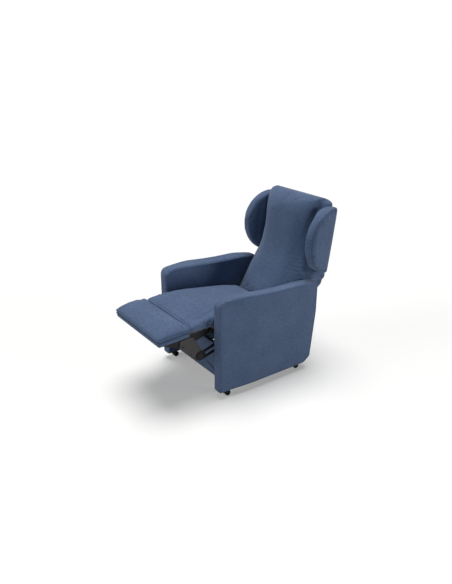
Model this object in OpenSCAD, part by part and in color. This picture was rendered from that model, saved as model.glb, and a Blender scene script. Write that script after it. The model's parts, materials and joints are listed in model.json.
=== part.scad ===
// Reclining wing armchair on castors, with a folding footrest.
// The chair faces -Y and +X is the sitter's left.
// Z is zero on the floor, and the origin lies midway between the castors.
// It is modelled part open: footrest raised and back leaning.

/* [Arms] */
// Clear width between the arms
seat_gap = 544; // [500:2:620]
// Thickness of each arm
arm_thick = 78; // [66:1:110]
// Depth of each arm, front to rear
arm_depth = 775; // [745:5:840]
// Height of the arm top at its front
arm_top_front = 665; // [640:1:720]
// Height of the arm top at its rear
arm_top_rear = 628; // [600:1:660]
// Height of the arms' underside above the floor
ground_gap = 46; // [44:1:60]
// Thickness of the arms' padded cover
arm_skin = 10; // [6:1:14]
// Radius along the arms' long edges
arm_edge_r = 18; // [8:1:24]

/* [Castors] */
// Distance from the arm's front to the front wheels
castor_inset = 72; // [66:1:90]
// Distance from the rear wheels to the arm's rear
castor_rear_inset = 127; // [124:1:150]
// Wheel diameter
wheel_d = 38; // [34:1:40]
// Width of one wheel
wheel_w = 15; // [11:1:17]
// Distance of the wheel axle behind the stem
castor_trail = 14; // [10:1:16]
// Stem radius
stem_r = 5.5; // [4:0.5:7]

/* [Seat] */
// Height of the seat frame's top at its front
seat_z = 459; // [450:1:470]
// Rearward slope of the seat
seat_tilt = 5; // [3:0.5:7]
// Length of the seat frame
seat_len = 495; // [470:5:500]
// Width of the seat rails
rail_w = 32; // [24:1:34]
// Height of the seat rails
rail_h = 45; // [30:1:48]
// Cushion thickness at the front
cushion_front_t = 72; // [60:1:90]
// Cushion thickness at the rear
cushion_rear_t = 52; // [40:1:70]
// Webbing strap width
strap_w = 50; // [35:1:60]
// Webbing strap thickness
strap_t = 2; // [1:0.5:3]

/* [Footrest] */
// Length of the bridge pad between seat and footrest
bridge_len = 148; // [120:2:160]
// Length of the footrest
foot_len = 214; // [180:2:230]
// Downward slope of the footrest
foot_tilt = 2.5; // [0:0.5:5]
// Thickness of the fabric-wrapped board
foot_board_t = 28; // [20:1:32]
// Thickness of the fabric round the board
wrap_t = 3; // [2:0.5:4]
// Height of the footrest pad at its crown
foot_pad_t = 44; // [30:1:60]

/* [Mechanism] */
// Thickness of the mechanism plates
plate_t = 5; // [4:0.5:6]
// Gap between neighbouring layers of links
layer_gap = 2; // [1.5:0.5:3]
// Radius of the pivot pins
pin_r = 5; // [4:0.5:6]
// Radial clearance of the pivots
pin_fit = 0.05; // [0.03:0.01:0.1]
// Radius of the legrest pivot's eye
eye_r = 15; // [11:1:15]
// Height of the slot in the rockers
rocker_slot = 22; // [14:1:26]
// Height of the rockers
rocker_h = 56; // [44:1:60]
// Outer radius of the steel tubes
tube_r = 10; // [8:0.5:11]
// Wall of the steel tubes
tube_wall = 1.5; // [1:0.5:3]

/* [Back] */
// Lean of the back from upright as modelled
back_lean = 8; // [4:1:12]
// Height of the back above its pivot
back_h = 785; // [740:5:820]
// Half width of the back
back_hw = 262; // [250:1:266]
// Half width of the back pad between the wings
pad_high_hw = 234; // [220:1:240]
// Depth of the back frame's timber
post_d = 52; // [40:1:56]
// Width of the back posts
post_w = 32; // [26:1:40]
// Distance of the back's rear face behind its pivot
back_rear = 250; // [240:1:256]
// Thickness of the wings
wing_t = 63; // [54:1:64]
// Depth of the wings from front to rear
wing_reach = 211; // [190:1:215]
// Height of the wings
wing_h = 439; // [400:1:445]
// Height of the wings' foot above the back's pivot
wing_z = 302; // [300:1:320]
// Outward splay of the wings
wing_splay = 6.7; // [0:0.1:7]

/* [Hidden] */

blue = [0.29, 0.36, 0.46];
link_grey = [0.33, 0.31, 0.31];
timber = [0.72, 0.58, 0.4];
$fn = 48;
soft_gap = 0.3;
half_gap = seat_gap / 2;
wheel_base = arm_depth - castor_inset - castor_rear_inset;
y_front = -(wheel_base / 2 + castor_inset);
y_rear = y_front + arm_depth;

// Arm outline
corner_front_r = 45;
corner_rear_r = 26;
arm_bend = [y_rear, 412];
heel_step = 36;
arm_heel = [y_rear - heel_step, ground_gap + 37];
arm_foot_y = arm_heel[0] - 53;
crest_y = y_front + 0.72 * arm_depth;
frame_bar = 45;
mid_rail = [320, 440];

// Layers of the mechanism, as distances from the middle plane, going inwards
layer = plate_t + layer_gap;
strip_t = 12;
plate_x = half_gap - strip_t - plate_t;
rocker_x = plate_x - layer;
link_x = rocker_x - layer;
arm_x = link_x - layer;

// Pivots, as [y, z]
seat_y = y_front + 35;
knee = [y_front, seat_z - 11];
link_top = knee + [-196, -56];
link_step = [116, -96];
rocker_pivot = knee + link_step;
link_foot = link_top + link_step;
back_pivot = [seat_y + seat_len + 70, seat_z - 79];

// Bolts
bolt_r = 4;
bolt_fit = 0.3;
bolt_head_r = 8;
bolt_head_t = 4;
bolt_len = 40;
frame_bolt_y = [y_front + 180, y_front + 340, y_front + 500];
frame_bolt_z = 358;
strip_z = [frame_bolt_z - 20, frame_bolt_z + 16];
seat_bolt_y = [60, 440];

// Seat frame's own frame starts at its front top edge
seat_front_y = -38;
straps_across = 6;
straps_along = 5;

// Footrest's own frame starts at its rear bottom edge
bridge_y = y_front - 8;
foot_y = bridge_y - bridge_len - 2;
foot_z = knee[1] + 9;
foot_hw = half_gap - 2;
foot_bolt_x = arm_x - 13;
foot_bolt_y = [-foot_len * 0.7, -foot_len * 0.3];
bridge_board_t = 8;

// Castors: the hood swivels on its stem and carries two wheels on one axle
stem_x = half_gap + arm_thick / 2;
stem_y = [-wheel_base / 2 - castor_trail, wheel_base / 2 - castor_trail];
socket_r = stem_r + 3.5;
socket_h = 38;
flange_r = 18;
flange_t = 2;
hood_w = 10;
hood_top = ground_gap - flange_t - 0.5;
hood_plate_t = 2.5;
axle_r = 3;
axle_z = wheel_d / 2;
wheel_gap = 0.4;
tread_r = 2;

// Back's own frame stands on its pivot and leans with the back
back_skin = 10;
back_post_x = 196;
post_grip = 26;
bracket_x = back_post_x + post_w;
post_y = back_rear - back_skin - post_d;
post_mid_y = post_y + post_d / 2;
back_toe = [back_rear - 67, 137];
post_z = [underside(post_y + post_d, back_skin) + 1, back_h - 55];
back_bolt_z = [post_z[0] + 22, post_z[0] + 74];
back_rail_h = 42;
pad_foot_z = 46;
wing_rear = back_rear - 10;
wing_board_t = 10;
wing_board_w = 90;
wing_root_t = 20;
wing_head_x = back_hw + wing_board_t - bolt_head_t;
wing_bolt_z = [wing_z + 90, wing_z + wing_h - 90];

// Front board
front_y = y_front + 64;
front_t = 18;
front_skin = 6;
front_z = [90, 118, 316];
front_upper_hw = arm_x - 6;
rear_board_y = y_rear - 85;
rear_board_h = 78;
tie_tube_y = [y_front + 255, y_front + 600];
tie_tube_z = 112;

module side_extrude(x, width) {
  translate([x, 0, 0]) rotate([90, 0, 90]) linear_extrude(width) children();
}

module both_sides() {
  children();
  mirror([1, 0, 0]) children();
}

module right_side() {
  mirror([1, 0, 0]) children();
}

// A round bar along X at [y, z], from x over a length
module bar(x, at, r, length) {
  translate([x, at[0], at[1]]) rotate([0, 90, 0]) cylinder(r = r, h = length);
}

module ring_bar(x, at, r, wall, length) {
  difference() {
    bar(x, at, r, length);
    bar(x - 1, at, r - wall, length + 2);
  }
}

// A bolt along X whose head lies on the side given by dir
module bolt(x, at, dir, length) {
  bar(dir > 0 ? x : x - bolt_head_t, at, bolt_head_r, bolt_head_t);
  bar(dir > 0 ? x - length : x, at, bolt_r, length);
}

module seat_space() {
  translate([0, seat_y, seat_z]) rotate([-seat_tilt, 0, 0]) children();
}

module foot_space() {
  translate([0, foot_y, foot_z]) rotate([foot_tilt, 0, 0]) children();
}

module back_space() {
  translate([0, back_pivot[0], back_pivot[1]]) rotate([-back_lean, 0, 0]) children();
}

function arc(centre, r, from, to) =
  [for (i = [0:6]) let (a = from + (to - from) * i / 6) centre + r * [cos(a), sin(a)]];

function arm_outline(inset, foot) = concat(
  [[y_front + inset, ground_gap + foot]],
  arc([y_front + corner_front_r, arm_top_front - corner_front_r], corner_front_r - inset, 180, 92),
  [[crest_y, arm_top_rear - inset]],
  arc([y_rear - corner_rear_r, arm_top_rear - 1 - corner_rear_r], corner_rear_r - inset, 90, 0),
  [arm_bend - [inset, 0], arm_heel - [inset, 0], [arm_foot_y - inset, ground_gap + foot]]);

module arm_cavity(x, width) {
  side_extrude(x, width) polygon(arm_outline(arm_skin, 0));
}

module arm_bores(r) {
  for (y = frame_bolt_y) bar(plate_x, [y, frame_bolt_z], r, bolt_len + plate_t);
}

module arm_frame() {
  inner = [y_front + arm_skin + frame_bar, y_rear - heel_step - arm_skin - frame_bar];
  lower = [ground_gap + frame_bar, mid_rail[0]];
  upper = [mid_rail[1], arm_top_rear - arm_skin - frame_bar];
  color(timber) difference() {
    arm_cavity(half_gap + arm_skin, arm_thick - 2 * arm_skin);
    for (z = [lower, upper])
      translate([half_gap, inner[0], z[0]]) cube([arm_thick, inner[1] - inner[0], z[1] - z[0]]);
    arm_bores(bolt_r);
    for (y = stem_y) translate([stem_x, y, ground_gap - 1]) cylinder(r = socket_r, h = socket_h + 1);
  }
}

module arm_cover() {
  color(blue) difference() {
    hull() for (a = [0:15:90]) {
      inset = arm_edge_r * (1 - cos(a));
      reach = arm_edge_r * sin(a);
      width = arm_thick - 2 * arm_edge_r + 2 * reach;
      side_extrude(half_gap + arm_thick / 2 - width / 2, width) polygon(arm_outline(inset, inset / 2));
    }
    arm_cavity(half_gap + arm_skin, arm_thick - 2 * arm_skin);
    translate([half_gap + arm_skin, y_front + arm_skin, ground_gap - 1])
      cube([arm_thick - 2 * arm_skin, arm_foot_y - y_front - 2 * arm_skin, 2]);
    arm_bores(bolt_r + 2 * bolt_fit);
  }
}

// Base
module front_panel(y, depth, grow) {
  translate([-half_gap, y, front_z[0] - grow])
    cube([seat_gap, depth, front_z[1] - front_z[0] + 2 * grow]);
  translate([-front_upper_hw - grow, y, front_z[0] - grow])
    cube([2 * (front_upper_hw + grow), depth, front_z[2] - front_z[0] + 2 * grow]);
}

module front_board() {
  color(timber) front_panel(front_y, front_t, 0);
}

module front_cover() {
  color(blue) difference() {
    front_panel(front_y - front_skin, front_t + front_skin, front_skin / 2);
    translate([0, 0.01, 0]) front_panel(front_y - 0.01, front_t + 1, 0);
  }
}

module rear_board() {
  color(timber) translate([-half_gap, rear_board_y, front_z[0]]) cube([seat_gap, front_t, rear_board_h]);
}

module tie_tubes() {
  color("dimgray") for (y = tie_tube_y)
    ring_bar(-half_gap, [y, tie_tube_z], tube_r, tube_wall, seat_gap);
}

module packing_strips() {
  color(timber) both_sides() difference() {
    translate([plate_x + plate_t, y_front + 150, strip_z[0]])
      cube([strip_t, frame_bolt_y[2] - y_front - 120, strip_z[1] - strip_z[0]]);
    arm_bores(bolt_r + bolt_fit);
  }
}

// Height of the seat frame's top at y
function seat_top(y) = seat_z - (y - seat_y) * tan(seat_tilt);

function seat_bolt(y) = [
  seat_y + y * cos(seat_tilt) - rail_h / 2 * sin(seat_tilt),
  seat_z - y * sin(seat_tilt) - rail_h / 2 * cos(seat_tilt)];

back_eye_r = 24;
module side_plate() {
  color("dimgray") difference() {
    union() {
      bar(plate_x, knee, eye_r, plate_t);
      bar(plate_x, back_pivot, back_eye_r, plate_t);
      side_extrude(plate_x, plate_t) polygon([
        knee + [-eye_r, -2], knee + [0, eye_r], [seat_y + 10, seat_top(seat_y + 10) - 3],
        [back_pivot[0] - 40, seat_top(back_pivot[0] - 40) - 8], back_pivot + [0, back_eye_r],
        back_pivot + [0, -back_eye_r],
        [back_pivot[0] - 60, strip_z[0] - 4], [frame_bolt_y[0], strip_z[0] - 4],
        rocker_pivot + [0, -24], rocker_pivot + [-22, -10]]);
    }
    bar(plate_x - 1, knee, pin_r, plate_t + 2);
    bar(plate_x - 1, rocker_pivot, pin_r, plate_t + 2);
    bar(plate_x - 1, back_pivot, pin_r, plate_t + 2);
    arm_bores(bolt_r + bolt_fit);
    for (y = seat_bolt_y) bar(plate_x - 1, seat_bolt(y), bolt_r + bolt_fit, plate_t + 2);
  }
}

module mechanism_bolts() {
  color("silver") both_sides() {
    for (y = frame_bolt_y) bolt(plate_x, [y, frame_bolt_z], -1, bolt_len);
    for (y = seat_bolt_y) bolt(plate_x + plate_t, seat_bolt(y), 1, bolt_len / 2 + plate_t);
  }
}

pin_head_r = 8;
pin_head_t = 3;
// A pin through the side plate, with a head inside at x
module pin(x, at) {
  bar(x, at, pin_r, plate_x + plate_t - x);
  bar(x - pin_head_t, at, pin_head_r, pin_head_t);
}

module pivot_pins() {
  color("silver") both_sides() {
    pin(arm_x - layer_gap / 4, knee);
    pin(rocker_x - layer_gap / 4, rocker_pivot);
    pin(bracket_x - layer_gap / 4, back_pivot);
  }
}

// Seat
module seat_side_rails() {
  color(timber) both_sides() difference() {
    seat_space() translate([plate_x - rail_w, 0, -rail_h]) cube([rail_w, seat_len, rail_h]);
    for (y = seat_bolt_y) bar(plate_x - bolt_len / 2, seat_bolt(y), bolt_r, bolt_len);
  }
}

module seat_cross_rails() {
  rail_hw = plate_x - rail_w;
  color(timber) seat_space() for (y = [0, seat_len - rail_w])
    translate([-rail_hw, y, -rail_h]) cube([2 * rail_hw, rail_w, rail_h]);
}

module seat_webbing() {
  pitch_y = (seat_len - strap_w) / (straps_across - 1);
  pitch_x = (2 * plate_x - 2 * rail_w - strap_w) / (straps_along - 1);
  color("black") seat_space() {
    for (i = [0:straps_across - 1])
      translate([-plate_x, i * pitch_y, 0]) cube([2 * plate_x, strap_w, strap_t]);
    for (i = [0:straps_along - 1])
      translate([-plate_x + rail_w + i * pitch_x, 0, strap_t]) cube([strap_w, seat_len, strap_t]);
  }
}

// A pad's cross-section across X: flat below, crowned above
module pad_slice(half_w, bottom, side, crown) {
  rotate([90, 0, 0]) linear_extrude(0.5) polygon(concat(
    [[-half_w + 6, bottom], [half_w - 6, bottom], [half_w, bottom + 8]],
    [for (i = [0:8]) let (u = 1 - i / 4) [half_w * u, bottom + side + crown * (1 - u * u)]],
    [[-half_w, bottom + 8]]));
}

cushion_hw = half_gap - 4;
module seat_cushion() {
  base = 2 * strap_t + soft_gap;
  slope = (cushion_front_t - cushion_rear_t) / seat_len;
  color(blue) seat_space() hull() {
    translate([0, seat_front_y + 0.5, 0]) pad_slice(cushion_hw, base, cushion_front_t - 14, 8);
    translate([0, seat_front_y + 30, 0]) pad_slice(cushion_hw, base, cushion_front_t - 6, 12);
    translate([0, seat_len * 0.5, 0]) pad_slice(cushion_hw, base, cushion_front_t - slope * seat_len / 2, 14);
    translate([0, seat_len - 30, 0]) pad_slice(cushion_hw, base, cushion_rear_t - 4, 10);
    translate([0, seat_len - 2, 0]) pad_slice(cushion_hw, base, cushion_rear_t - 16, 6);
  }
}

// Castors
module castor_sockets() {
  color("dimgray") both_sides() for (y = stem_y) translate([stem_x, y, 0]) difference() {
    union() {
      translate([0, 0, ground_gap]) cylinder(r = socket_r, h = socket_h);
      translate([0, 0, ground_gap - flange_t]) cylinder(r = flange_r, h = flange_t);
    }
    translate([0, 0, ground_gap - flange_t - 1]) cylinder(r = stem_r + pin_fit, h = socket_h + flange_t + 2);
  }
}

module castor_hood(side, y) {
  nose = stem_r + 3;
  color("black") translate([side * stem_x, y, 0]) difference() {
    union() {
      translate([0, 0, hood_top - hood_plate_t]) cylinder(r = stem_r, h = socket_h);
      bar(-hood_w / 2, [castor_trail, axle_z], axle_z - 2, hood_w);
      translate([-hood_w / 2, -nose, axle_z]) cube([hood_w, castor_trail + nose, hood_top - axle_z]);
      translate([-hood_w / 2 - wheel_w, -nose, hood_top - hood_plate_t])
        cube([hood_w + 2 * wheel_w, castor_trail + 2 * nose, hood_plate_t]);
    }
    bar(-hood_w, [castor_trail, axle_z], axle_r + pin_fit, 2 * hood_w);
  }
}

module castor_wheels(side, y) {
  tread_hw = (wheel_w - wheel_gap) / 2;
  color([0.08, 0.09, 0.1]) translate([side * stem_x, y + castor_trail, axle_z]) rotate([0, 90, 0]) {
    translate([0, 0, -hood_w / 2 - wheel_w]) cylinder(r = axle_r, h = hood_w + 2 * wheel_w);
    for (s = [-1, 1]) translate([0, 0, s * (hood_w / 2 + wheel_gap + tread_hw)]) rotate_extrude() polygon([
      [0, -tread_hw], [axle_z - tread_r, -tread_hw], [axle_z, tread_r - tread_hw],
      [axle_z, tread_hw - tread_r], [axle_z - tread_r, tread_hw], [0, tread_hw]]);
  }
}

// Footrest: two plate arms turn about the knee and carry the bridge and the footrest
module legrest_arm() {
  lip_t = 3;
  lip_w = 26;
  color([0.16, 0.15, 0.15]) difference() {
    union() {
      bar(arm_x, knee, eye_r, plate_t);
      bar(arm_x, link_top, 17, plate_t);
      side_extrude(arm_x, plate_t) polygon([
        knee + [-12, 10], [bridge_y - bridge_len, knee[1] + 10 - 1], [foot_y - 4, foot_z - 1],
        [foot_y - foot_len * 0.85, foot_z - foot_len * 0.85 * sin(foot_tilt)],
        [foot_y - foot_len * 0.85, foot_z - 18], link_top + [-16, -6], link_top + [0, -17],
        knee + [0, -eye_r]]);
      foot_space() translate([arm_x - lip_w, -foot_len * 0.85, -lip_t])
        cube([lip_w + plate_t, foot_len * 0.7, lip_t]);
      translate([arm_x - lip_w, bridge_y - bridge_len + 10, knee[1] + 10 - lip_t])
        cube([lip_w + plate_t, bridge_len - 36, lip_t]);
    }
    bar(arm_x - 1, knee, pin_r + pin_fit, plate_t + 2);
    bar(arm_x - 1, link_top, pin_r, plate_t + 2);
    foot_space() for (y = foot_bolt_y)
      translate([foot_bolt_x, y, -10]) cylinder(r = bolt_r + bolt_fit, h = 20);
  }
}

legrest_tube_at = link_top + [-66, 34];
module legrest_tube() {
  color("dimgray") ring_bar(-arm_x, legrest_tube_at, tube_r, tube_wall, 2 * arm_x);
}

module link_pins() {
  color("silver") both_sides() {
    bar(arm_x, link_top, pin_r, layer + plate_t + 1);
    bar(link_x + plate_t + 0.5, link_top, pin_head_r, pin_head_t / 2);
  }
}

module bridge_board() {
  color(timber) translate([-arm_x - plate_t, bridge_y - bridge_len + 4, knee[1] + 10])
    cube([2 * (arm_x + plate_t), bridge_len - 20, bridge_board_t]);
}

module bridge_pad() {
  base = knee[1] + 10 + bridge_board_t + soft_gap;
  top = seat_z + cushion_front_t - base;
  color(blue) hull() {
    translate([0, bridge_y, 0]) pad_slice(cushion_hw, base, top - 10, 12);
    translate([0, bridge_y - bridge_len / 2, 0]) pad_slice(cushion_hw, base, top - 11, 11);
    translate([0, bridge_y - bridge_len + 0.5, 0]) pad_slice(cushion_hw, base, top - 20, 7);
  }
}

module footrest_board_room() {
  translate([-foot_hw + wrap_t, -foot_len + wrap_t, wrap_t])
    cube([2 * (foot_hw - wrap_t), foot_len - 2 * wrap_t, foot_board_t - 2 * wrap_t]);
}

module footrest_bores(r) {
  both_sides() for (y = foot_bolt_y) translate([foot_bolt_x, y, -10]) cylinder(r = r, h = 28);
}

module footrest_board() {
  color(timber) foot_space() difference() {
    footrest_board_room();
    footrest_bores(bolt_r);
  }
}

module footrest_wrap() {
  color(blue) foot_space() difference() {
    translate([-foot_hw, -foot_len, 0]) cube([2 * foot_hw, foot_len, foot_board_t]);
    footrest_board_room();
    footrest_bores(bolt_r + bolt_fit);
  }
}

module footrest_bolts() {
  color("silver") foot_space() both_sides() for (y = foot_bolt_y) translate([foot_bolt_x, y, 0]) {
    translate([0, 0, -3]) cylinder(r = bolt_r, h = 21);
    translate([0, 0, -3 - bolt_head_t]) cylinder(r = bolt_head_r, h = bolt_head_t);
  }
}

module footrest_pad() {
  base = foot_board_t + soft_gap;
  color(blue) foot_space() hull() {
    translate([0, -1, 0]) pad_slice(foot_hw - 1, base, foot_pad_t * 0.55, 8);
    translate([0, -foot_len * 0.3, 0]) pad_slice(foot_hw - 1, base, foot_pad_t * 0.8, foot_pad_t * 0.2);
    translate([0, -foot_len * 0.7, 0]) pad_slice(foot_hw - 1, base, foot_pad_t * 0.7, foot_pad_t * 0.2);
    translate([0, -foot_len + 0.5, 0]) pad_slice(foot_hw - 1, base, foot_pad_t * 0.4, 6);
  }
}

// Rockers: slotted plates on a torque tube, which turns on pins in the side plates
rocker_len = norm(link_top - knee);
rocker_angle = atan2(link_top[1] - knee[1], link_top[0] - knee[0]);
rocker_slot_run = [0.2, 0.82];
module rocker_profile() {
  difference() {
    union() {
      translate([0, -rocker_h / 2]) square([rocker_len, rocker_h]);
      translate([rocker_len, 0]) circle(r = rocker_h / 2);
      circle(r = rocker_h / 2);
    }
    translate([rocker_len * rocker_slot_run[0], -rocker_slot / 2])
      square([rocker_len * (rocker_slot_run[1] - rocker_slot_run[0]), rocker_slot]);
    circle(r = pin_r + pin_fit);
    translate([rocker_len, 0]) circle(r = pin_r + 3 * pin_fit);
  }
}

module rocker() {
  color("black") translate([0, rocker_pivot[0], rocker_pivot[1]])
    side_extrude(rocker_x, plate_t) rotate(rocker_angle) rocker_profile();
}

module torque_tube() {
  color("dimgray") ring_bar(-rocker_x, rocker_pivot, tube_r, tube_wall, 2 * rocker_x);
}

// Link plates join legrest arms and rockers
module link_plate() {
  stop_bolt = link_top + [53, -67];
  color(link_grey) difference() {
    side_extrude(link_x, plate_t) polygon([
      link_top + [-26, 8], link_top + [-19, 44], link_top + [46, 50], link_top + [68, 44],
      link_top + [140, -78], link_top + [144, -104], link_top + [132, -118], link_top + [88, -120],
      link_top + [76, -114], link_top + [4, -30]]);
    bar(link_x - 1, link_top, pin_r + pin_fit, plate_t + 2);
    bar(link_x - 1, link_foot, pin_r, plate_t + 2);
    bar(link_x - 1, stop_bolt, bolt_r, plate_t + 2);
  }
}

module link_bolts() {
  stop_bolt = link_top + [53, -67];
  color([0.1, 0.1, 0.1]) {
    bar(link_x, link_foot, pin_r, rocker_x + plate_t - link_x + 1);
    bar(rocker_x + plate_t + 0.5, link_foot, pin_head_r, 1.2);
    bar(link_x - 1, stop_bolt, bolt_r, plate_t + 1);
    bar(link_x + plate_t, stop_bolt, bolt_head_r - 2, layer_gap - 0.5);
  }
}

// Back
module back_post() {
  color(timber) back_space() difference() {
    translate([back_post_x, post_y, post_z[0]]) cube([post_w, post_d, post_z[1] - post_z[0]]);
    back_bores(bolt_r);
    wing_bores(bolt_r);
  }
}

module back_bores(r) {
  for (z = back_bolt_z) bar(bracket_x - post_grip, [post_mid_y, z], r, bolt_len);
}

module wing_bores(r) {
  length = back_hw + wing_board_t + 1 - bracket_x + post_grip;
  for (z = wing_bolt_z) bar(bracket_x - post_grip, [post_mid_y, z], r, length);
}

module back_rail(z) {
  inset = 7;
  color(timber) back_space() translate([-back_post_x, post_y + inset, z])
    cube([2 * back_post_x, post_d - 2 * inset, back_rail_h]);
}

// Brackets join the posts to the back's pivots
module back_bracket() {
  hub_r = 20;
  color("dimgray") back_space() difference() {
    union() {
      bar(bracket_x, [0, 0], hub_r, plate_t);
      side_extrude(bracket_x, plate_t) polygon([
        [-0.7 * hub_r, 0.7 * hub_r],
        [post_y + 6, back_bolt_z[1] + 20], [post_y + post_d - 6, back_bolt_z[1] + 20],
        [post_y + post_d - 6, back_bolt_z[0] - 14], [0.7 * hub_r, -0.7 * hub_r]]);
    }
    bar(bracket_x - 1, [0, 0], pin_r + pin_fit, plate_t + 2);
    back_bores(bolt_r + bolt_fit);
  }
}

module back_bolts() {
  color("silver") back_space() both_sides() for (z = back_bolt_z)
    bolt(bracket_x + plate_t, [post_mid_y, z], 1, post_grip + plate_t);
}

module back_webbing() {
  straps = 8;
  pitch = (post_z[1] - post_z[0] - strap_w - 10) / (straps - 1);
  color("black") back_space() for (i = [0:straps - 1])
    translate([-bracket_x, post_y - strap_t, post_z[0] + i * pitch]) cube([2 * bracket_x, strap_t, strap_w]);
}

// A slice of the back pad at height z: flat behind, crowned in front
module back_slice(z, half_w, centre_y, edge_y, rear_y) {
  drop = edge_y - centre_y;
  translate([0, 0, z]) linear_extrude(0.5) polygon(concat(
    [[half_w, rear_y]],
    [for (i = [0:8]) let (u = 1 - i / 4) [half_w * u, centre_y + drop * pow(abs(u), 2.4)]],
    [[-half_w, rear_y]]));
}

// Underside of the back at y, sloping up to the rear
function underside(y, inset) = back_toe[1] + (y - back_toe[0]) + inset * sqrt(2);

// The back pad has slots for the brackets
module back_pad() {
  rear = post_y - strap_t;
  toe = rear - underside(rear, 0);
  waist_z = wing_z + 38;
  slices = [
    [pad_foot_z, back_hw, -58, 0, toe + pad_foot_z],
    [pad_foot_z + 14, back_hw, -62, 0, toe + pad_foot_z + 14],
    [rear - toe, back_hw, -33, 28, rear],
    [0.28 * back_h, back_hw, -4, 56, rear],
    [waist_z, pad_high_hw, 42, 96, rear],
    [0.64 * back_h, pad_high_hw, 66, 104, rear],
    [0.88 * back_h, pad_high_hw, 66, 100, rear],
    [0.97 * back_h, pad_high_hw, 84, 116, rear],
    [back_h - 1, pad_high_hw - 10, 130, 150, rear]];
  color(blue) back_space() difference() {
    for (i = [0:len(slices) - 2]) hull() for (s = [slices[i], slices[i + 1]])
      back_slice(s[0], s[1], s[2], s[3], s[4]);
    both_sides() translate([bracket_x - 2, -30, 0]) cube([plate_t + 4, rear + 31, back_bolt_z[1] + 30]);
  }
}

// Open tray round the posts
module back_shell() {
  front = post_y - strap_t;
  color(blue) back_space() difference() {
    side_extrude(-back_hw, 2 * back_hw) polygon([
      [front, underside(front, 0)], [back_rear, underside(back_rear, 0)],
      [back_rear, back_h], [front, back_h]]);
    tray_room(back_hw - back_skin, back_h - back_skin);
    both_sides() wing_bores(bolt_r + bolt_fit);
  }
}

module tray_room(half_w, top) {
  front = post_y - strap_t - 1;
  rear = back_rear - back_skin;
  side_extrude(-half_w, 2 * half_w) polygon([
    [front, underside(front, back_skin)], [rear, underside(rear, back_skin)], [rear, top], [front, top]]);
}

// Half oval with its straight side to the rear
function wing_outline(inset) = [for (i = [0:12]) let (a = 90 + 15 * i)
  [wing_rear - inset + (wing_reach - 2 * inset) * cos(a),
    wing_z + wing_h / 2 + (wing_h / 2 - inset) * sin(a)]];

module wing_board_room(x, width) {
  translate([x, wing_rear - 10 - wing_board_w, wing_z + 60]) cube([width, wing_board_w, wing_h - 120]);
}

// Leans a wing outwards from its rear edge
module splayed() {
  slope = tan(wing_splay);
  multmatrix([[1, -slope, 0, slope * wing_rear], [0, 1, 0, 0], [0, 0, 1, 0]]) children();
}

// Wings: a soft wing with a flat root round a board that is bolted through the shell to the post
module wing() {
  edge_r = 16;
  color(blue) back_space() difference() {
    union() {
      hull() for (a = [0:18:90]) {
        inset = edge_r * (1 - cos(a));
        width = wing_t - 2 * edge_r + 2 * edge_r * sin(a);
        splayed() side_extrude(back_hw + wing_t / 2 - width / 2, width) polygon(wing_outline(inset));
      }
      translate([back_hw, wing_rear - 16 - wing_board_w, wing_z + 50])
        cube([wing_root_t, wing_board_w + 12, wing_h - 100]);
    }
    wing_board_room(back_hw - 1, wing_board_t + 1);
  }
}

module wing_boards() {
  color(timber) back_space() both_sides() difference() {
    wing_board_room(back_hw, wing_board_t);
    wing_bores(bolt_r + bolt_fit);
    for (z = wing_bolt_z) bar(wing_head_x, [post_mid_y, z], bolt_head_r + bolt_fit, wing_board_t);
  }
}

module wing_bolts() {
  color("silver") back_space() both_sides() for (z = wing_bolt_z)
    bolt(wing_head_x, [post_mid_y, z], 1, wing_head_x - bracket_x + post_grip);
}

arm_frame();  // arm_frame_left
right_side() arm_frame();  // arm_frame_right
arm_cover();  // arm_cover_left
right_side() arm_cover();  // arm_cover_right
front_board();
front_cover();
rear_board();
tie_tubes();
packing_strips();
side_plate();  // side_plate_left
right_side() side_plate();  // side_plate_right
mechanism_bolts();
pivot_pins();
seat_side_rails();
seat_cross_rails();
seat_webbing();
seat_cushion();
castor_sockets();
castor_hood(1, stem_y[0]);  // castor_hood_fl
castor_hood(-1, stem_y[0]);  // castor_hood_fr
castor_hood(1, stem_y[1]);  // castor_hood_rl
castor_hood(-1, stem_y[1]);  // castor_hood_rr
castor_wheels(1, stem_y[0]);  // castor_wheels_fl
castor_wheels(-1, stem_y[0]);  // castor_wheels_fr
castor_wheels(1, stem_y[1]);  // castor_wheels_rl
castor_wheels(-1, stem_y[1]);  // castor_wheels_rr
legrest_arm();  // legrest_arm_left
right_side() legrest_arm();  // legrest_arm_right
legrest_tube();
link_pins();
bridge_board();
bridge_pad();
footrest_board();
footrest_wrap();
footrest_bolts();
footrest_pad();
rocker();  // rocker_left
right_side() rocker();  // rocker_right
torque_tube();
link_plate();  // link_plate_left
right_side() link_plate();  // link_plate_right
link_bolts();  // link_bolts_left
right_side() link_bolts();  // link_bolts_right
back_post();  // back_post_left
right_side() back_post();  // back_post_right
back_rail(post_z[1] - back_rail_h);  // back_rail_top
back_rail((post_z[0] + post_z[1] - back_rail_h) / 2);  // back_rail_middle
back_rail(post_z[0]);  // back_rail_bottom
back_webbing();
back_pad();
back_shell();
wing();  // wing_left
right_side() wing();  // wing_right
wing_boards();
wing_bolts();
back_bracket();  // back_bracket_left
right_side() back_bracket();  // back_bracket_right
back_bolts();
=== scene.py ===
"""Upholstery, finishes and studio for a reclining wing armchair on castors."""

import json
import logging
import math
from dataclasses import dataclass
from enum import Enum
from typing import Any, Callable, Sequence

import bpy
import numpy as np
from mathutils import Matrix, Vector
from mathutils.bvhtree import BVHTree
from mathutils.kdtree import KDTree


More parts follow.
